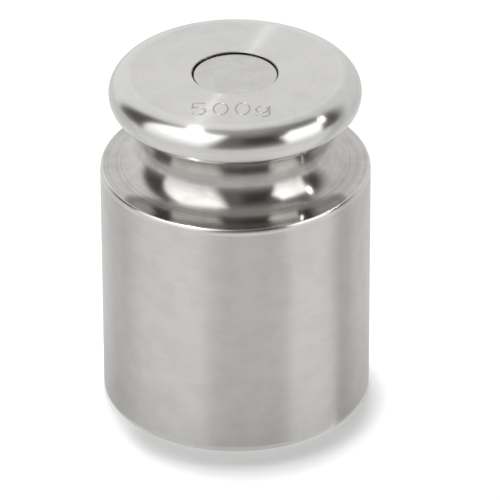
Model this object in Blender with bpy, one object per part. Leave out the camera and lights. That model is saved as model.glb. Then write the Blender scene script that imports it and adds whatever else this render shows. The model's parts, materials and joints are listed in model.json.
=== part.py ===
"""A 500 g calibration weight: a cylinder turned with its knob in one piece, with a sealed adjusting cavity."""

import math

import bmesh
import bpy

# Outer form of the weight, in metres. The origin is the centre of the base.
BODY_DIAMETER = 0.04075
SHOULDER_HEIGHT = 0.0394
BASE_EDGE_RADIUS = 0.0014
SHOULDER_CHAMFER = 0.00043
NECK_DIAMETER = 0.0278
NECK_FOOT_REACH = 0.00525
GRIP_HEIGHT = 0.0096
KNOB_DIAMETER = 0.0379
KNOB_UNDER_ROUNDING = 0.0026
KNOB_UNDER_REACH = 0.0018
KNOB_TOP_ROUNDING = 0.00315
KNOB_TOP_REACH = 0.0033

# Adjusting cavity on the axis, with depths measured down from the top of the knob
MOUTH_DIAMETER = 0.0129
MOUTH_DEPTH = 0.0054
MOUTH_CHAMFER = 0.00025
CAVITY_DIAMETER = 0.0090
CAVITY_DEPTH = 0.0280
DRILL_POINT_ANGLE = math.radians(118)
GROOVE_RADIUS = 0.0008

# Pieces inside the cavity
DISC_THICKNESS = 0.0015
DISC_EDGE_CHAMFER = 0.0002
LIFTING_HOLE_DIAMETER = 0.0030
PLUG_RECESS = 0.0003
PLUG_SIDE_GAP = 0.0002
PLUG_EDGE_CHAMFER = 0.0001
SHOT_DIAMETER = 0.0037
SHOT_COUNT = 9
SEAT_GAP = 0.0003

# Fineness of the turned surfaces
BODY_SEGMENTS = 80
PLUG_SEGMENTS = 48
SHOT_SEGMENTS = 16
SHOT_RINGS = 10
ARC_STEPS = 7
SHARP_ANGLE = math.radians(30)
WELD_DISTANCE = 1e-7

KNOB_UNDERSIDE = SHOULDER_HEIGHT + GRIP_HEIGHT
KNOB_TOP = KNOB_UNDERSIDE + KNOB_UNDER_ROUNDING + KNOB_TOP_ROUNDING
MOUTH_RADIUS = MOUTH_DIAMETER / 2
CAVITY_RADIUS = CAVITY_DIAMETER / 2
SEAT_HEIGHT = KNOB_TOP - MOUTH_DEPTH
CAVITY_FLOOR = KNOB_TOP - CAVITY_DEPTH
DRILL_SLOPE = math.pi / 2 - DRILL_POINT_ANGLE / 2
DISC_BOTTOM = SEAT_HEIGHT + SEAT_GAP
DISC_TOP = DISC_BOTTOM + DISC_THICKNESS
PLUG_BOTTOM = DISC_TOP + SEAT_GAP
PLUG_TOP = KNOB_TOP - PLUG_RECESS
GROOVE_HEIGHT = (PLUG_BOTTOM + PLUG_TOP) / 2


def clear_scene():
    for obj in list(bpy.data.objects):
        bpy.data.objects.remove(obj, do_unlink=True)


def material(name, colour, roughness):
    """Plain metal with the given colour and roughness."""
    made = bpy.data.materials.new(name)
    made.use_nodes = True
    shader = made.node_tree.nodes["Principled BSDF"]
    shader.inputs["Base Color"].default_value = (*colour, 1)
    shader.inputs["Roughness"].default_value = roughness
    shader.inputs["Metallic"].default_value = 1
    made.diffuse_color = (*colour, 1)
    return made


def arc(centre, radii, start, end):
    """Points of an elliptical arc in the (radius, height) plane, with angles from the outward direction."""
    points = []
    for step in range(ARC_STEPS + 1):
        angle = start + (end - start) * step / ARC_STEPS
        points.append((centre[0] + radii[0] * math.cos(angle), centre[1] + radii[1] * math.sin(angle)))
    return points


def turned(name, profile, closed, segments, finish):
    """Turn a (radius, height) profile once round the vertical axis into an object."""
    mesh = bpy.data.meshes.new(name)
    shape = bmesh.new()
    corners = [shape.verts.new((radius, 0, height)) for radius, height in profile]
    edges = [shape.edges.new(pair) for pair in zip(corners, corners[1:])]
    if closed:
        edges.append(shape.edges.new((corners[-1], corners[0])))
    bmesh.ops.spin(
        shape,
        geom=corners + edges,
        axis=(0, 0, 1),
        cent=(0, 0, 0),
        angle=2 * math.pi,
        steps=segments,
        use_merge=True,
    )
    bmesh.ops.remove_doubles(shape, verts=shape.verts[:], dist=WELD_DISTANCE)
    bmesh.ops.recalc_face_normals(shape, faces=shape.faces[:])
    shape.to_mesh(mesh)
    shape.free()
    return finished(name, mesh, finish)


def finished(name, mesh, finish):
    """Shade the mesh smooth between its sharp edges and put it in the scene."""
    mesh.shade_smooth()
    mesh.set_sharp_from_angle(angle=SHARP_ANGLE)
    mesh.materials.append(finish)
    obj = bpy.data.objects.new(name, mesh)
    bpy.context.scene.collection.objects.link(obj)
    return obj


def cavity_profile():
    """The inside of the weight, from the point of the drilled hole up to the mouth on the knob."""
    cone_height = CAVITY_RADIUS * math.tan(DRILL_SLOPE)
    groove = arc((MOUTH_RADIUS, GROOVE_HEIGHT), (GROOVE_RADIUS, GROOVE_RADIUS), -math.pi / 2, math.pi / 2)
    return [
        (0, CAVITY_FLOOR - cone_height),
        (CAVITY_RADIUS, CAVITY_FLOOR),
        (CAVITY_RADIUS, SEAT_HEIGHT),
        (MOUTH_RADIUS, SEAT_HEIGHT),
        *groove,
        (MOUTH_RADIUS, KNOB_TOP - MOUTH_CHAMFER),
        (MOUTH_RADIUS + MOUTH_CHAMFER, KNOB_TOP),
    ]


def knob_profile():
    """The rounded rim of the knob, from its flat top round to its underside."""
    knob_radius = KNOB_DIAMETER / 2
    widest = KNOB_UNDERSIDE + KNOB_UNDER_ROUNDING
    upper = arc(
        (knob_radius - KNOB_TOP_REACH, widest),
        (KNOB_TOP_REACH, KNOB_TOP_ROUNDING),
        math.pi / 2,
        0,
    )
    under = arc(
        (knob_radius - KNOB_UNDER_REACH, widest),
        (KNOB_UNDER_REACH, KNOB_UNDER_ROUNDING),
        0,
        -math.pi / 2,
    )
    return upper + under[1:]


def neck_profile():
    """The hollow neck: an arc in from the rim of the knob, then an arc out to the flat shoulder."""
    neck_radius = NECK_DIAMETER / 2
    half_height = GRIP_HEIGHT / 2
    waist = SHOULDER_HEIGHT + half_height
    head_reach = KNOB_DIAMETER / 2 - KNOB_UNDER_REACH - neck_radius
    upper = arc((neck_radius + head_reach, waist), (head_reach, half_height), math.pi / 2, math.pi)
    lower = arc(
        (neck_radius + NECK_FOOT_REACH, waist),
        (NECK_FOOT_REACH, half_height),
        math.pi,
        3 * math.pi / 2,
    )
    return upper[1:] + lower[1:]


def cylinder_profile():
    """The shoulder's chamfer, the straight side and the rounded bottom edge, down to the base."""
    radius = BODY_DIAMETER / 2
    bottom_edge = arc(
        (radius - BASE_EDGE_RADIUS, BASE_EDGE_RADIUS),
        (BASE_EDGE_RADIUS, BASE_EDGE_RADIUS),
        0,
        -math.pi / 2,
    )
    return [
        (radius - SHOULDER_CHAMFER, SHOULDER_HEIGHT),
        (radius, SHOULDER_HEIGHT - SHOULDER_CHAMFER),
        *bottom_edge,
        (0, 0),
    ]


def weight_body():
    """Cylinder, neck and knob, turned from one bar, with the cavity bored down from the knob."""
    steel = material("fine_turned_stainless_steel", (0.67, 0.66, 0.64), 0.22)
    profile = cavity_profile() + knob_profile() + neck_profile() + cylinder_profile()
    return turned("weight_body", profile, False, BODY_SEGMENTS, steel)


def closing_disc():
    """Disc that closes the cavity and rests on its step, with a hole in the middle to lift it by."""
    brass = material("brass", (0.72, 0.54, 0.27), 0.3)
    outer = MOUTH_RADIUS - SEAT_GAP
    inner = LIFTING_HOLE_DIAMETER / 2
    profile = [
        (inner, DISC_TOP),
        (outer - DISC_EDGE_CHAMFER, DISC_TOP),
        (outer, DISC_TOP - DISC_EDGE_CHAMFER),
        (outer, DISC_BOTTOM + DISC_EDGE_CHAMFER),
        (outer - DISC_EDGE_CHAMFER, DISC_BOTTOM),
        (inner, DISC_BOTTOM),
    ]
    return turned("closing_disc", profile, True, PLUG_SEGMENTS, brass)


def sealing_plug():
    """Soft metal plug driven into the mouth over the disc, so that its bead fills the groove in the wall."""
    soft_metal = material("soft_sealing_metal", (0.60, 0.60, 0.59), 0.35)
    radius = MOUTH_RADIUS - PLUG_SIDE_GAP
    bead_radius = GROOVE_RADIUS - SEAT_GAP
    bead_turn = math.acos(-PLUG_SIDE_GAP / bead_radius)
    bead = arc((MOUTH_RADIUS, GROOVE_HEIGHT), (bead_radius, bead_radius), bead_turn, -bead_turn)
    profile = [
        (0, PLUG_TOP),
        (radius - PLUG_EDGE_CHAMFER, PLUG_TOP),
        (radius, PLUG_TOP - PLUG_EDGE_CHAMFER),
        *bead,
        (radius, PLUG_BOTTOM),
        (0, PLUG_BOTTOM),
    ]
    return turned("sealing_plug", profile, False, PLUG_SEGMENTS, soft_metal)


def shot_places():
    """Centres of the shot, in rings that lie against the cavity wall, each turned half a place on the last."""
    shot_radius = SHOT_DIAMETER / 2
    reach = shot_radius + SEAT_GAP / 2
    ring_radius = CAVITY_RADIUS - SEAT_GAP - shot_radius
    in_a_ring = 1
    if ring_radius >= reach:
        in_a_ring = int(math.pi / math.asin(reach / ring_radius))
    step_across = 2 * ring_radius * math.sin(math.pi / (2 * in_a_ring))
    step_up = math.sqrt(4 * reach**2 - step_across**2)
    cone_tip = CAVITY_FLOOR - CAVITY_RADIUS * math.tan(DRILL_SLOPE)
    from_cone = (shot_radius + SEAT_GAP) / math.cos(DRILL_SLOPE)
    lowest = cone_tip + ring_radius * math.tan(DRILL_SLOPE) + from_cone
    places = []
    for index in range(SHOT_COUNT):
        ring, place = divmod(index, in_a_ring)
        angle = (2 * place + ring) * math.pi / in_a_ring
        places.append(
            (ring_radius * math.cos(angle), ring_radius * math.sin(angle), lowest + ring * step_up)
        )
    return places


def adjusting_shot():
    """The loose shot that brings the weight to its nominal value, about half filling the cavity."""
    lead = material("lead_shot", (0.22, 0.23, 0.25), 0.5)
    for number, place in enumerate(shot_places(), start=1):
        name = f"adjusting_shot_{number}"
        mesh = bpy.data.meshes.new(name)
        shape = bmesh.new()
        bmesh.ops.create_uvsphere(
            shape, u_segments=SHOT_SEGMENTS, v_segments=SHOT_RINGS, radius=SHOT_DIAMETER / 2
        )
        shape.to_mesh(mesh)
        shape.free()
        finished(name, mesh, lead).location = place


clear_scene()
weight_body()
closing_disc()
sealing_plug()
adjusting_shot()
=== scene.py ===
"""The looks of a 500 g calibration weight: turned and polished stainless steel round a plugged cavity."""

import json
import math

import bmesh
import bpy
from mathutils import Matrix, Vector, noise

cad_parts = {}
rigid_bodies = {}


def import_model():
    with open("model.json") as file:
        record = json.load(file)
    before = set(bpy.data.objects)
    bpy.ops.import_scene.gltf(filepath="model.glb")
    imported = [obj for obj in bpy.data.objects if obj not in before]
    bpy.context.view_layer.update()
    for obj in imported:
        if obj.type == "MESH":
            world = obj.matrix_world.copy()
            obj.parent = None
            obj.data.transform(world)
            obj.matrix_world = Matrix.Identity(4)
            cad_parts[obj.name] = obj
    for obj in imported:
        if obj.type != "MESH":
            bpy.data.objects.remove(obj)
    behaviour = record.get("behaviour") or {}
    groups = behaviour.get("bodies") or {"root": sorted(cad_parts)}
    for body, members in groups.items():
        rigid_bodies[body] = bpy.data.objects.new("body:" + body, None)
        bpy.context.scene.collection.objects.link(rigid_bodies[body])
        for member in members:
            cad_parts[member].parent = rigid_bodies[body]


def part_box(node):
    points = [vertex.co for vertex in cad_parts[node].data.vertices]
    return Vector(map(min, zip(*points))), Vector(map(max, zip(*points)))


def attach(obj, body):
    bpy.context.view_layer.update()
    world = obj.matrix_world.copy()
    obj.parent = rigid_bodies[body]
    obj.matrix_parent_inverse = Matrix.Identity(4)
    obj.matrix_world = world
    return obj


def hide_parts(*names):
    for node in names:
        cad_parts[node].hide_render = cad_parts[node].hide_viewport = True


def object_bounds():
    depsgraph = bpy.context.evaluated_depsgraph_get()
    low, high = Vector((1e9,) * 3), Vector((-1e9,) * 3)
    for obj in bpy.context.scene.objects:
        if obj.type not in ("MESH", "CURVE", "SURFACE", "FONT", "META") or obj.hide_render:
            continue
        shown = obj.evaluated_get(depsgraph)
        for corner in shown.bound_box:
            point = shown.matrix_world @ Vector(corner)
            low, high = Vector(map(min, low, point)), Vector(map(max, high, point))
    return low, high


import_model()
cad_low, cad_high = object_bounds()

# Camera
# A long lens about 0.87 m away looks down on the weight at 31 degrees. It aims a little to the right of
# the axis and is turned a fifth of a degree, which is how the weight stands in the photograph.
camera_distance = 0.7296
camera_height = 0.4638
camera_pitch = math.radians(31.09)
camera_pan = math.radians(0.169)
camera_roll = math.radians(-0.2)
lens = bpy.data.cameras.new("camera")
lens.sensor_width = 36
lens.lens = 403.8
lens.clip_start = 0.05
lens.clip_end = 20
camera = bpy.data.objects.new("camera", lens)
camera.location = (0, -camera_distance, camera_height)
camera.rotation_euler = (math.pi / 2 - camera_pitch, 0, -camera_pan)
camera.rotation_euler.rotate_axis("Z", camera_roll)
bpy.context.scene.collection.objects.link(camera)
bpy.context.scene.camera = camera
bpy.context.scene.view_settings.view_transform = "Standard"


# Studio
# The weight stands on white paper in a light tent. The back and the two sides of the tent glow, and its open
# front and its corners are dim. Two small lamps shine in the metal, and a soft one above casts the shadow.
class Value:
    """A socket of a node tree that can be used in sums."""

    def __init__(self, finish, socket):
        self.finish = finish
        self.socket = socket

    def sum(self, operation, *terms):
        """What a Math node makes of these terms."""
        return self.finish.node("Math", {"operation": operation}, terms)

    def __add__(self, other):
        return self.sum("ADD", self, other)

    def __sub__(self, other):
        return self.sum("SUBTRACT", self, other)

    def __rsub__(self, other):
        return self.sum("SUBTRACT", other, self)

    def __mul__(self, other):
        return self.sum("MULTIPLY", self, other)

    def __truediv__(self, other):
        return self.sum("DIVIDE", self, other)

    def __rtruediv__(self, other):
        return self.sum("DIVIDE", other, self)

    __radd__ = __add__
    __rmul__ = __mul__

    def root(self):
        return self.sum("SQRT", self)

    def limited(self, low, high):
        """1 above high, 0 below low, and a smooth rise between them."""
        ramp = {"interpolation_type": "SMOOTHSTEP"}
        return self.finish.node("MapRange", ramp, {"Value": self, "From Min": low, "From Max": high})

    def within(self, low, high, blur):
        """1 between low and high, with edges that are blurred by so much on each side."""
        return self.limited(low - blur, low + blur) * (1 - self.limited(high - blur, high + blur))


class Finish:
    """A node tree of a material or of the world, with one method that adds any node."""

    def __init__(self, tree):
        self.tree = tree
        self.tree.nodes.clear()

    def node(self, kind, settings=None, sockets=(), output=0):
        """Add a node with these settings and these values or links of its sockets, and give its output."""
        made = self.tree.nodes.new("ShaderNode" + kind)
        for name, setting in (settings or {}).items():
            setattr(made, name, setting)
        pairs = sockets.items() if isinstance(sockets, dict) else enumerate(sockets)
        for name, given in pairs:
            if isinstance(given, Value):
                self.tree.links.new(given.socket, made.inputs[name])
            else:
                made.inputs[name].default_value = given
        if made.outputs:
            return Value(self, made.outputs[output])

    def mixed(self, share, first, second):
        """The first colour where the share is 0 and the second where it is 1."""
        return self.node("Mix", {"data_type": "RGBA"}, {0: share, 6: first, 7: second}, 2)

    def ends_in(self, surface, kind="OutputMaterial"):
        """Show this surface, as the last node of the tree."""
        self.node(kind, sockets={"Surface": surface})


def grey(level, warmth=0.0):
    """A grey of this level, which is yellower the warmer it is."""
    return (level * (1 + warmth), level, level * (1 - warmth), 1)


world = bpy.data.worlds.new("light_tent")
world.use_nodes = True
bpy.context.scene.world = world
world.cycles.sampling_method = "NONE"
tent = Finish(world.node_tree)
looking = {"Vector": tent.node("TexCoord")}
x, y, z = (tent.node("SeparateXYZ", sockets=looking, output=axis) for axis in "XYZ")
degree = math.degrees(1)
# Places in the tent: degrees round from the camera's side, to the right, and degrees up from level
turn = x.sum("ARCTAN2", x, y * -1) * degree
lift = z.sum("ARCSINE", z) * degree

# The cloth walls, whose edges lean and bend as they rise
left_front_lean, left_back_lean = 0.14, 0.17
left_front = turn - lift * left_front_lean
left_back = turn + lift * left_back_lean
left_wall = left_back.limited(-90, -81) * (1 - left_front.limited(-34, -16))
left_wall = left_wall * lift.limited(-20, 0) * (1 - lift.limited(70, 78))
right_bend, right_front_lean = 37, 1.4
right_middle, right_roof_lean, right_back_bow = 60, 0.4, 0.009
above_bend = lift - right_bend
right_front = turn - above_bend.sum("MAXIMUM", above_bend, 0) * right_front_lean
right_roof = lift + (turn - right_middle) * right_roof_lean
right_back = turn - lift * lift * right_back_bow
right_wall = right_front.limited(41, 49) * (1 - right_roof.limited(51, 60)) * (1 - right_back.limited(77, 84))
back_side_lean, back_roof_lean = 0.43, 0.15
back_side = turn - lift * back_side_lean
back_roof = lift - (turn * turn).root() * back_roof_lean
back_wall = (back_side.limited(91, 118) + (1 - turn.limited(-130, -114))) * (1 - back_roof.limited(38, 56))
wall_rise = lift.limited(-5, 55)

# The dimmer parts round them
front = turn.within(-40, 60, 30)
opening = turn.within(8, 44, 10) * lift.limited(4, 34) * (1 - lift.limited(50, 68))
horizon = (1 - lift.limited(-4, 24)) * (1 - turn.within(60, 130, 15) * 0.8)
corners = (turn.within(-126, -92, 8) + turn.within(86, 108, 8)) * lift.within(4, 46, 10)

# How bright each part is, where 1 is white
low_roof, high_roof = grey(0.15, 0.04), grey(0.45, 0.02)
front_cloth, front_share = grey(0.25, 0.04), 0.35
horizon_cloth = grey(0.36, 0.04)
dark_opening = grey(0.06, 0.1)
dark_corner, corner_share = grey(0.04, 0.1), 0.5
back_left, back_right = grey(1.06), grey(0.89)
left_low, left_high = grey(1.13), grey(2.08)
right_low, right_high = grey(1.38), grey(2.48)
glow = tent.mixed(lift.limited(56, 84), low_roof, high_roof)
glow = tent.mixed(front * front_share, glow, front_cloth)
glow = tent.mixed(horizon, glow, horizon_cloth)
glow = tent.mixed(opening, glow, dark_opening)
glow = tent.mixed(corners * corner_share, glow, dark_corner)
glow = tent.mixed(back_wall, glow, tent.mixed(turn.within(0, 168, 14), back_left, back_right))
glow = tent.mixed(left_wall, glow, tent.mixed(wall_rise, left_low, left_high))
glow = tent.mixed(right_wall, glow, tent.mixed(wall_rise, right_low, right_high))

# The camera sees plain white behind the weight. The paper gets its light from the soft lamp instead of the
# tent, so that the shadow on it is as deep as in the photograph.
tent_off_paper = 0.88
paper_ray = tent.node("LightPath", output="Is Diffuse Ray")
camera_ray = tent.node("LightPath", output="Is Camera Ray")
background = tent.node("Background", sockets={"Color": grey(1)})
lit = tent.node("Background", sockets={"Color": glow, "Strength": 1 - paper_ray * tent_off_paper})
tent.ends_in(tent.node("MixShader", sockets={0: camera_ray, 1: lit, 2: background}), "OutputWorld")


def lamp(name, turn, lift, width, length, radiance, on_paper=False):
    """A small lamp a metre away that faces the weight, and shines either in the metal or on the paper.

    Its place is given as places in the tent are, and its power by how bright its face is.
    """
    light = bpy.data.lights.new(name, "AREA")
    light.shape = "RECTANGLE"
    light.size = width
    light.size_y = length
    light.energy = radiance * math.pi * width * length
    obj = bpy.data.objects.new(name, light)
    turn, lift = math.radians(turn), math.radians(lift)
    place = Vector((math.cos(lift) * math.sin(turn), -math.cos(lift) * math.cos(turn), math.sin(lift)))
    obj.location = place
    obj.rotation_euler = (-place).to_track_quat("-Z", "Y").to_euler()
    obj.visible_camera = False
    obj.visible_glossy = not on_paper
    obj.visible_diffuse = on_paper
    bpy.context.scene.collection.objects.link(obj)


lamp("left_lamp", turn=-97, lift=73, width=0.026, length=0.026, radiance=1300)
lamp("right_lamp", turn=99, lift=42, width=0.03, length=0.03, radiance=250)
lamp("top_lamp", turn=-172.5, lift=84.1, width=0.115, length=0.125, radiance=163, on_paper=True)

half_table = 3.0
shape = bmesh.new()
bmesh.ops.create_grid(shape, x_segments=1, y_segments=1, size=half_table)
table_mesh = bpy.data.meshes.new("table")
shape.to_mesh(table_mesh)
shape.free()
table = bpy.data.objects.new("table", table_mesh)
bpy.context.scene.collection.objects.link(table)
paper = bpy.data.materials.new("white_paper")
paper.use_nodes = True
sheet = Finish(paper.node_tree)
place = {"Vector": sheet.node("TexCoord", output="Object")}
x, y = (sheet.node("SeparateXYZ", sockets=place, output=axis) for axis in "XY")
away = (x * x + y * y).root()

# As the camera sees it the paper is matt, and whiter at the left and far behind, where the photograph's
# background is pure white
paper_white = grey(0.8)
paper_glow, left_more, far_more = 0.39, 0.2, 0.25
left_glow = (1 - x.limited(-0.019, -0.013)) * left_more
far_glow = away.limited(0.12, 0.6) * far_more
glow_level = sheet.node("LightPath", output="Is Camera Ray") * (paper_glow + (left_glow + far_glow))
matt = sheet.node("BsdfDiffuse", sockets={"Color": paper_white})
glowing = sheet.node("Emission", sockets={"Color": grey(1), "Strength": glow_level})
seen = sheet.node("AddShader", sockets=(matt, glowing))

# As the metal mirrors it the paper glows, with soft lighter and darker areas and a thin bright line in its
# glow, which the weight's side shows as painted reflections: upright bands and a thin upright highlight
near_level, middle_level, far_level = 0.79, 1.01, 0.92
front_loss, right_loss, left_loss, highlight_line_gain = 0.1, 0.24, 0.13, 0.15


def beyond(angle):
    """How far a point of the paper lies beyond the line that the weight's side shows upright at this angle."""
    angle = math.radians(angle)
    foot = Vector((math.sin(angle), -math.cos(angle))) * cad_high.x
    return (x - foot.x) * math.cos(2 * angle) + (y - foot.y) * math.sin(2 * angle)


front_dim = beyond(-14).limited(-0.004, 0.004) * (1 - beyond(22).limited(-0.003, 0.003))
front_dim = front_dim * (1 - away.limited(0.05, 0.1))
right_dim = beyond(46).limited(0, 0.002) * (1 - beyond(56).limited(-0.001, 0.004) * 0.5)
right_dim = right_dim * x.limited(0.01, 0.016)
left_dim = (1 - beyond(-50).limited(-0.004, 0.001)) * (0.5 + beyond(-66).limited(-0.004, 0.001) * 0.5)
left_dim = left_dim * (1 - x.limited(-0.016, -0.01))
# A thin bright line in the glow that only the metal sees, which paints a thin upright highlight on the
# weight's side
highlight_line = beyond(45.5).within(0, 0.0006, 0.0003) * x.limited(0.01, 0.016)
level = near_level + away.limited(0.02, 0.045) * (middle_level - near_level)
level = level - away.limited(0.075, 0.13) * (middle_level - far_level)
level = level * (1 - front_dim * front_loss) * (1 - right_dim * right_loss) * (1 - left_dim * left_loss)
mirrored = sheet.node("Emission", sockets={"Color": grey(1), "Strength": level + highlight_line * highlight_line_gain})
mirror_ray = sheet.node("LightPath", output="Is Glossy Ray")
sheet.ends_in(sheet.node("MixShader", sockets={0: mirror_ray, 1: seen, 2: mirrored}))
table_mesh.materials.append(paper)

# Weight body
# One piece turned from stainless steel bar: a cylinder, a hollow neck and a wide knob, with a bored cavity
# on the axis. Its faces and side are finely turned, its neck and rim are polished, and its value is struck
# into the knob.
body_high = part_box("weight_body")[1]
body_radius = body_high.x
knob_top = body_high.z
base_edge_radius = 0.0014
shoulder_height = 0.0394
edge_reach = 0.0004
edge_rise = 0.0009
neck_radius = 0.0139
neck_foot_reach = 0.00525
grip_height = 0.0096
knob_radius = 0.01895
knob_under_rounding = 0.0026
knob_under_reach = 0.0018
knob_top_rounding = 0.00315
knob_top_reach = 0.0033
mouth_radius = 0.00645
mouth_depth = 0.0054
mouth_chamfer = 0.00012
cavity_radius = 0.0045
cavity_depth = 0.0280
drill_slope = math.radians(31)
groove_radius = 0.0008
plug_recess = 0.0003
disc_and_gaps = 0.0021
flat_margin = 0.0001
body_turns = 256
quarter = math.pi / 2
sharp_angle = math.radians(30)
weld_distance = 1e-7


def straight(shape, *corners):
    """Straight edges through (radius, height) corners of a profile."""
    verts = [shape.verts.new((radius, 0, height)) for radius, height in corners]
    for pair in zip(verts, verts[1:]):
        shape.edges.new(pair)


def rounded(shape, centre, reach, rise, start, turn, steps=16):
    """Part of an ellipse about a (radius, height) centre of a profile, from the angle start through turn."""
    known = set(shape.verts)
    first = shape.verts.new((math.cos(start), 0, math.sin(start)))
    bmesh.ops.spin(shape, geom=[first], axis=(0, -1, 0), cent=(0, 0, 0), angle=turn, steps=steps)
    swept = [vert for vert in shape.verts if vert not in known]
    bmesh.ops.scale(shape, verts=swept, vec=(reach, 1, rise))
    bmesh.ops.translate(shape, verts=swept, vec=(centre[0], 0, centre[1]))


def turned(name, shape, steps):
    """Turn a profile once round the axis into a closed mesh object."""
    bmesh.ops.remove_doubles(shape, verts=shape.verts[:], dist=weld_distance)
    bmesh.ops.spin(
        shape,
        geom=shape.verts[:] + shape.edges[:],
        axis=(0, 0, 1),
        cent=(0, 0, 0),
        angle=4 * quarter,
        steps=steps,
        use_merge=True,
    )
    bmesh.ops.remove_doubles(shape, verts=shape.verts[:], dist=weld_distance)
    bmesh.ops.recalc_face_normals(shape, faces=shape.faces[:])
    return smooth_object(name, shape)


def smooth_object(name, shape):
    """An object from a bmesh, shaded smooth between its sharp edges."""
    mesh = bpy.data.meshes.new(name)
    shape.to_mesh(mesh)
    shape.free()
    mesh.shade_smooth()
    mesh.set_sharp_from_angle(angle=sharp_angle)
    obj = bpy.data.objects.new(name, mesh)
    bpy.context.scene.collection.objects.link(obj)
    return obj


seat = knob_top - mouth_depth
groove_height = (seat + disc_and_gaps + knob_top - plug_recess) / 2
underside = shoulder_height + grip_height
waist = shoulder_height + grip_height / 2
widest = underside + knob_under_rounding
top_edge = knob_radius - knob_top_reach
under_edge = knob_radius - knob_under_reach
head_reach = under_edge - neck_radius
foot_edge = neck_radius + neck_foot_reach
shoulder_edge = body_radius - edge_reach
edge_foot = shoulder_height - edge_rise
base_edge = body_radius - base_edge_radius
profile = bmesh.new()
straight(
    profile,
    (0, knob_top - cavity_depth - cavity_radius * math.tan(drill_slope)),
    (cavity_radius, knob_top - cavity_depth),
    (cavity_radius, seat),
    (mouth_radius, seat),
    (mouth_radius, groove_height - groove_radius),
)
rounded(profile, (mouth_radius, groove_height), groove_radius, groove_radius, -quarter, 2 * quarter)
straight(
    profile,
    (mouth_radius, groove_height + groove_radius),
    (mouth_radius, knob_top - mouth_chamfer),
    (mouth_radius + mouth_chamfer, knob_top),
    (mouth_radius + mouth_chamfer + flat_margin, knob_top),
    (top_edge - flat_margin, knob_top),
    (top_edge, knob_top),
)
rounded(profile, (top_edge, widest), knob_top_reach, knob_top_rounding, quarter, -quarter)
rounded(profile, (under_edge, widest), knob_under_reach, knob_under_rounding, 0, -quarter)
rounded(profile, (neck_radius + head_reach, waist), head_reach, grip_height / 2, quarter, quarter)
rounded(profile, (foot_edge, waist), neck_foot_reach, grip_height / 2, 2 * quarter, quarter)
straight(
    profile,
    (foot_edge, shoulder_height),
    (foot_edge + flat_margin, shoulder_height),
    (shoulder_edge - flat_margin, shoulder_height),
    (shoulder_edge, shoulder_height),
)
rounded(profile, (shoulder_edge, edge_foot), edge_reach, edge_rise, quarter, -quarter)
straight(
    profile,
    (body_radius, edge_foot),
    (body_radius, base_edge_radius + flat_margin),
    (body_radius, base_edge_radius),
)
rounded(profile, (base_edge, base_edge_radius), base_edge_radius, base_edge_radius, 0, -quarter)
straight(profile, (base_edge, 0), (base_edge - flat_margin, 0), (0, 0))
body = turned("turned_body", profile, body_turns)

# The struck value, whose places are given as they are read, across and up, from the middle of the knob
stroke_width = 0.00027
stroke_depth = 0.00007
digit_height = 0.0034
digit_width = 0.0021
middle_line = -0.01092
five_x, first_zero_x, second_zero_x, gram_x = -0.0054, -0.00212, 0.00113, 0.00407
gram_line = middle_line - 0.0003
gram_lean = 0.0001
bowl_width, bowl_height = 0.0017, 0.0021
stem_right, stem_rise, stem_drop = 0.0010, 0.0010, 0.0013
hook_width, hook_height = 0.0020, 0.0014


def stroke(points, closed=False):
    """A round bar along these points, sunk a little into the top of the knob."""
    bar_radius = (stroke_width**2 / 4 + stroke_depth**2) / (2 * stroke_depth)
    path = bpy.data.curves.new("stroke", "CURVE")
    path.dimensions = "3D"
    path.bevel_depth = bar_radius
    path.bevel_resolution = 3
    path.use_fill_caps = True
    line = path.splines.new("POLY")
    line.points.add(len(points) - 1)
    for point, (across, up) in zip(line.points, points):
        point.co = (across, up, knob_top + bar_radius - stroke_depth, 1)
    line.use_cyclic_u = closed
    bar = bpy.data.objects.new("stroke", path)
    mesh = bpy.data.meshes.new_from_object(bar)
    bpy.data.objects.remove(bar)
    shape = bmesh.new()
    shape.from_mesh(mesh)
    bmesh.ops.remove_doubles(shape, verts=shape.verts[:], dist=weld_distance)
    bmesh.ops.recalc_face_normals(shape, faces=shape.faces[:])
    shape.to_mesh(mesh)
    shape.free()
    cutter = bpy.data.objects.new("stroke", mesh)
    strokes.objects.link(cutter)


def bow(centre, width, height, start, end, steps=24):
    """Points along part of an ellipse, with angles in degrees from the right."""
    angles = [math.radians(start + (end - start) * step / steps) for step in range(steps + 1)]
    return [(centre[0] + width / 2 * math.cos(a), centre[1] + height / 2 * math.sin(a)) for a in angles]


def oval(centre, width, height):
    """A closed stroke, as in a nought."""
    stroke(bow(centre, width, height, 0, 345, 23), closed=True)


strokes = bpy.data.collections.new("strokes")
bpy.context.scene.collection.children.link(strokes)
half_height = digit_height / 2
oval((first_zero_x, middle_line), digit_width, digit_height)
oval((second_zero_x, middle_line), digit_width, digit_height)
top_bar = (five_x + 0.48 * digit_width, middle_line + half_height)
corner = (five_x - 0.36 * digit_width, middle_line + half_height)
shoulder = (five_x - 0.45 * digit_width, middle_line + 0.12 * half_height)
belly_middle = (five_x - 0.02 * digit_width, middle_line - 0.34 * half_height)
belly = bow(belly_middle, digit_width, 0.66 * digit_height, 135, -140)
stroke([top_bar, corner, shoulder])
stroke([shoulder] + belly[2:])
oval((gram_x - gram_lean, gram_line), bowl_width, bowl_height)
stem = [(gram_x + stem_right, gram_line + stem_rise), (gram_x + stem_right, gram_line - stem_drop)]
hook = bow((gram_x, gram_line - stem_drop), hook_width, hook_height, 0, -150, 12)
stroke(stem + hook[1:])
engraving = body.modifiers.new("struck_value", "BOOLEAN")
engraving.operation = "DIFFERENCE"
engraving.operand_type = "COLLECTION"
engraving.collection = strokes
engraving.solver = "EXACT"
struck = bpy.data.meshes.new_from_object(body.evaluated_get(bpy.context.evaluated_depsgraph_get()))
body.modifiers.clear()
body.data = struck
struck.set_sharp_from_angle(angle=sharp_angle)
for cutter in list(strokes.objects):
    bpy.data.objects.remove(cutter)
bpy.data.collections.remove(strokes)
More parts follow.
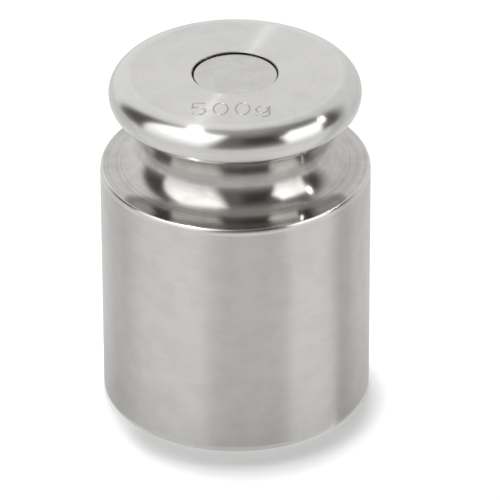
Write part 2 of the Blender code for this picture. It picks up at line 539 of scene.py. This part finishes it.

# The clean and the marked colour of each zone. The body is one steel: the rim is painted lighter, as painted
# light, and the neck, the struck value and the bore darker, as painted shade, the bore nearly black.
top_steel = (0.597, 0.59, 0.576, 1), (0.572, 0.565, 0.549, 1)
rim_steel_painted_light = (0.625, 0.618, 0.602, 1), (0.595, 0.588, 0.572, 1)
side_steel = (0.574, 0.562, 0.542, 1), (0.532, 0.52, 0.5, 1)
neck_steel_painted_shade = (0.53, 0.52, 0.499, 1), (0.46, 0.45, 0.43, 1)
struck_steel_painted_shade = (0.46, 0.45, 0.43, 1), (0.40, 0.395, 0.38, 1)
bore_steel_painted_shade = (0.04, 0.039, 0.037, 1), (0.15, 0.147, 0.14, 1)
black, white = (0, 0, 0, 1), (1, 1, 1, 1)

# The metal's finest grooves, how often its rings break up across the weight, and how fine its clouds, streaks
# and scratches are, per metre. The shares say what its marked colour follows, and what its shine.
fine_pitch = 0.00005
ring_breaks = 20
cloud_scale = 300
streak_scales = (300, 300, 2400)
scratch_scale, patch_scale = 700, 140
mark_share, streak_share, cloud_share = 0.1, 0.3, 0.6
shine_share = 0.08

# The flat shoulder and the foot of the neck have open turning marks, which are deeper and shinier. The foot is
# painted darker as painted shade, and darker still along its open rings. Above them a band round the neck's
# waist is painted darker as painted shade.
foot_start, foot_end = 0.0155, 0.0178
foot_pitch = 0.0003
foot_marks = 7
foot_shine = 0.2
foot_painted_shade, foot_ring_shade = 0.05, 0.11
band_low, band_high, band_blur, band_painted_shade = 0.0431, 0.0448, 0.0005, 0.2


def turned_metal(name, colours, roughness, spread, mark_depth, pitch, grooves=0.2, foot=False, handled=0.0):
    """Metal with the fine marks of a turning tool round the axis, which smear its reflections.

    mark_depth and pitch say how deep and how far apart the marks are, and grooves how much rougher the finest
    ones are. foot adds the open marks, the painted shade of the foot and a band of painted shade round the
    neck's waist, and handled the scratches of use.
    """
    material = bpy.data.materials.new(name)
    material.use_nodes = True
    finish = Finish(material.node_tree)
    place = {"Vector": finish.node("TexCoord", output="Object")}
    x, y, z = (finish.node("SeparateXYZ", sockets=place, output=axis) for axis in "XYZ")
    radius = (x * x + y * y).root()

    def drawn_out(*stretched, detail):
        """Noise that is drawn out the way its three stretched coordinates are."""
        along = finish.node("CombineXYZ", sockets=stretched)
        return finish.node("TexNoise", sockets={"Vector": along, "Scale": 1, "Detail": detail})

    marks = drawn_out(radius / pitch, z / pitch, x * ring_breaks, detail=2)
    fine_rings = drawn_out(radius / fine_pitch, z / fine_pitch, x * ring_breaks, detail=1)
    groove = fine_rings.limited(0.53, 0.63)
    cloud = finish.node("TexNoise", sockets={**place, "Scale": cloud_scale, "Detail": 3})
    streaks = drawn_out(*(axis * scale for axis, scale in zip((x, y, z), streak_scales)), detail=4)
    marked = marks * mark_share + streaks * streak_share + cloud * cloud_share
    colour = finish.mixed(marked.limited(0.4, 0.64), *colours)
    height = marks
    shine = 1
    if foot:
        on_foot = radius.limited(foot_start, foot_end)
        foot_rings = drawn_out(radius / foot_pitch, 0, x * ring_breaks, detail=2)
        height = marks + foot_rings * on_foot * foot_marks
        shine = 1 - on_foot * foot_shine
        # A band round the neck's waist is painted darker: painted shade.
        colour = finish.mixed(z.within(band_low, band_high, band_blur) * band_painted_shade, colour, black)
        # The foot is painted darker as painted shade, and darker still along its open rings.
        shade = foot_rings.limited(0.42, 0.6) * foot_ring_shade + foot_painted_shade
        colour = finish.mixed(on_foot * shade, colour, black)
    if handled:
        cells = finish.node("TexVoronoi", {"feature": "DISTANCE_TO_EDGE"}, {**place, "Scale": scratch_scale})
        patches = finish.node("TexNoise", sockets={**place, "Scale": patch_scale}).limited(0.6, 0.68)
        colour = finish.mixed((1 - cells.limited(0, 0.05)) * patches * handled, colour, white)
    bump = finish.node("Bump", sockets={"Strength": 1, "Distance": mark_depth, "Height": height})
    uneven = (marks - 0.5) * (shine_share * roughness)
    metal = finish.node(
        "BsdfPrincipled",
        sockets={
            "Base Color": colour,
            "Metallic": 1.0,
            "Roughness": (roughness + groove * grooves + uneven) * shine,
            "Anisotropic": spread,
            "Anisotropic Rotation": 0.25,
            "Normal": bump,
        },
    )
    finish.ends_in(metal)
    return material


# The rim's material carries painted light in its colour, and the neck's, the bore's and the struck value's
# painted shade.
for material in (
    turned_metal("polished_rim_painted_light", rim_steel_painted_light, 0.18, 0.93, 4e-7, 0.0002, grooves=0),
    turned_metal("polished_neck_painted_shade", neck_steel_painted_shade, 0.16, 0.93, 6e-7, 0.0002, grooves=0, foot=True),
    turned_metal("turned_top", top_steel, 0.15, 1.0, 1e-7, 0.0003, grooves=0.12),
    turned_metal("turned_side", side_steel, 0.28, 0.98, 1e-7, 0.0003, grooves=0, handled=0.06),
    turned_metal("bored_wall_painted_shade", bore_steel_painted_shade, 0.45, 0.80, 2e-6, 0.0003),
    turned_metal("struck_value", struck_steel_painted_shade, 0.5, 0, 1e-6, 0.0003, grooves=0),
    turned_metal("broken_edge", rim_steel_painted_light, 0.24, 0.6, 1e-7, 0.0003, grooves=0),
):
    struck.materials.append(material)
on_rim, on_neck, on_top, on_side, on_bore, on_value, on_broken_edge = range(7)
near = 1e-5
for polygon in struck.polygons:
    centre = polygon.center
    reach = math.hypot(centre.x, centre.y)
    flat = abs(polygon.normal.z) > 0.999
    if reach > body_radius - 5 * near and base_edge_radius < centre.z < edge_foot:
        polygon.material_index = on_side
    elif reach > shoulder_edge and edge_foot < centre.z < shoulder_height:
        polygon.material_index = on_broken_edge
    elif flat and abs(centre.z - shoulder_height) < near:
        polygon.material_index = on_neck
    elif flat and (centre.z < near or centre.z > knob_top - near):
        polygon.material_index = on_top
    elif knob_top - mouth_chamfer < centre.z < knob_top - near and reach < top_edge:
        polygon.material_index = on_value
    elif reach < mouth_radius + groove_radius and near < centre.z < knob_top - near:
        polygon.material_index = on_bore
    elif shoulder_height < centre.z < underside - near:
        polygon.material_index = on_neck
    else:
        polygon.material_index = on_rim
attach(body, "root")
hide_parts("weight_body")

# Closing disc
# A turned brass disc that lies on the step inside the mouth of the cavity and keeps the shot in. It has a
# hole in the middle to lift it out by.
disc_low, disc_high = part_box("closing_disc")
disc_radius = disc_high.x
disc_edge_chamfer = 0.0002
hole_chamfer = disc_edge_chamfer / 2
lifting_hole_radius = 0.0015
brass = (0.72, 0.54, 0.27, 1), (0.60, 0.43, 0.20, 1)
disc_turns = 96
profile = bmesh.new()
straight(
    profile,
    (lifting_hole_radius, disc_high.z - hole_chamfer),
    (lifting_hole_radius + hole_chamfer, disc_high.z),
    (disc_radius - disc_edge_chamfer, disc_high.z),
    (disc_radius, disc_high.z - disc_edge_chamfer),
    (disc_radius, disc_low.z + disc_edge_chamfer),
    (disc_radius - disc_edge_chamfer, disc_low.z),
    (lifting_hole_radius + hole_chamfer, disc_low.z),
    (lifting_hole_radius, disc_low.z + hole_chamfer),
    (lifting_hole_radius, disc_high.z - hole_chamfer),
)
disc = turned("brass_disc", profile, disc_turns)
disc.data.materials.append(turned_metal("turned_brass", brass, 0.3, 0.9, 1e-6, 0.0002))
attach(disc, "root")
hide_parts("closing_disc")

# Sealing plug
# A soft metal plug pressed into the mouth over the disc, so that it swells into the groove in the wall and
# can't come out. The press leaves its face smooth, satin and very slightly uneven.
plug_low, plug_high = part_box("sealing_plug")
plug_side_gap = 0.0002
plug_radius = mouth_radius - plug_side_gap
plug_edge_radius = 0.0001
bead_radius = 0.0005
bead_turn = math.acos(-plug_side_gap / bead_radius)
plug_colour = (0.56, 0.554, 0.542, 1)
pressed_colour = (0.50, 0.494, 0.482, 1)
plug_turns = 128
plug_lean = Vector((0.00006, -0.00008, 0))
profile = bmesh.new()
straight(
    profile,
    (0, plug_high.z),
    (plug_radius / 2, plug_high.z),
    (plug_radius - plug_edge_radius - flat_margin, plug_high.z),
    (plug_radius - plug_edge_radius, plug_high.z),
)
rounded(
    profile,
    (plug_radius - plug_edge_radius, plug_high.z - plug_edge_radius),
    plug_edge_radius,
    plug_edge_radius,
    quarter,
    -quarter,
    steps=6,
)
straight(
    profile,
    (plug_radius, plug_high.z - plug_edge_radius),
    (plug_radius, groove_height + bead_radius * math.sin(bead_turn)),
)
rounded(profile, (mouth_radius, groove_height), bead_radius, bead_radius, bead_turn, -2 * bead_turn)
straight(
    profile,
    (plug_radius, groove_height - bead_radius * math.sin(bead_turn)),
    (plug_radius, plug_low.z),
    (0, plug_low.z),
)
plug = turned("pressed_plug", profile, plug_turns)
plug.data.transform(Matrix.Translation(plug_lean))
pressed = bpy.data.materials.new("pressed_soft_metal")
pressed.use_nodes = True
finish = Finish(pressed.node_tree)
place = {"Vector": finish.node("TexCoord", output="Object")}
waves = finish.node("TexNoise", sockets={**place, "Scale": 500, "Detail": 2})
grain = finish.node("TexNoise", sockets={**place, "Scale": 4000, "Detail": 3})
uneven = waves * 0.5 + grain * 0.5
waved = finish.node("Bump", sockets={"Strength": 1, "Distance": 4e-6, "Height": waves + grain * 0.1})
metal = finish.node(
    "BsdfPrincipled",
    sockets={
        "Base Color": finish.mixed(uneven.limited(0.35, 0.65), plug_colour, pressed_colour),
        "Metallic": 1.0,
        "Roughness": 0.3 + (grain - 0.5) * 0.2,
        "Normal": waved,
    },
)
finish.ends_in(metal)
plug.data.materials.append(pressed)
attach(plug, "root")
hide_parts("sealing_plug")

# Adjusting shot
# Nine cast lead shot that lie loose in the cavity and bring the weight to its nominal value. Each is a
# little dented by its neighbours, and dull grey from the air.
shot_count = 9
dent_depth = 0.00006
fresh_lead = (0.26, 0.27, 0.29, 1)
dull_lead = (0.17, 0.175, 0.185, 1)
lead = bpy.data.materials.new("dull_lead")
lead.use_nodes = True
finish = Finish(lead.node_tree)
place = {"Vector": finish.node("TexCoord", output="Object")}
bloom = finish.node("TexNoise", sockets={**place, "Scale": 900, "Detail": 4})
pits = finish.node("TexNoise", sockets={**place, "Scale": 5000, "Detail": 2})
rough = finish.node("Bump", sockets={"Strength": 1, "Distance": 1e-5, "Height": pits})
metal = finish.node(
    "BsdfPrincipled",
    sockets={
        "Base Color": finish.mixed(bloom.limited(0.35, 0.65), fresh_lead, dull_lead),
        "Metallic": 1.0,
        "Roughness": 0.45 + bloom * 0.2,
        "Normal": rough,
    },
)
finish.ends_in(metal)
for number in range(1, shot_count + 1):
    low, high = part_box(f"adjusting_shot_{number}")
    middle = (low + high) / 2
    radius = (high.z - low.z) / 2
    shape = bmesh.new()
    bmesh.ops.create_icosphere(shape, subdivisions=4, radius=radius)
    for vert in shape.verts:
        dent = noise.noise(vert.co / radius * 1.5 + middle * 1000)
        vert.co *= 1 - dent_depth / radius * max(0, min(1, 0.5 + 2 * dent))
    bmesh.ops.translate(shape, verts=shape.verts, vec=middle)
    shot = smooth_object(f"lead_shot_{number}", shape)
    shot.data.materials.append(lead)
    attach(shot, "root")
    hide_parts(f"adjusting_shot_{number}")
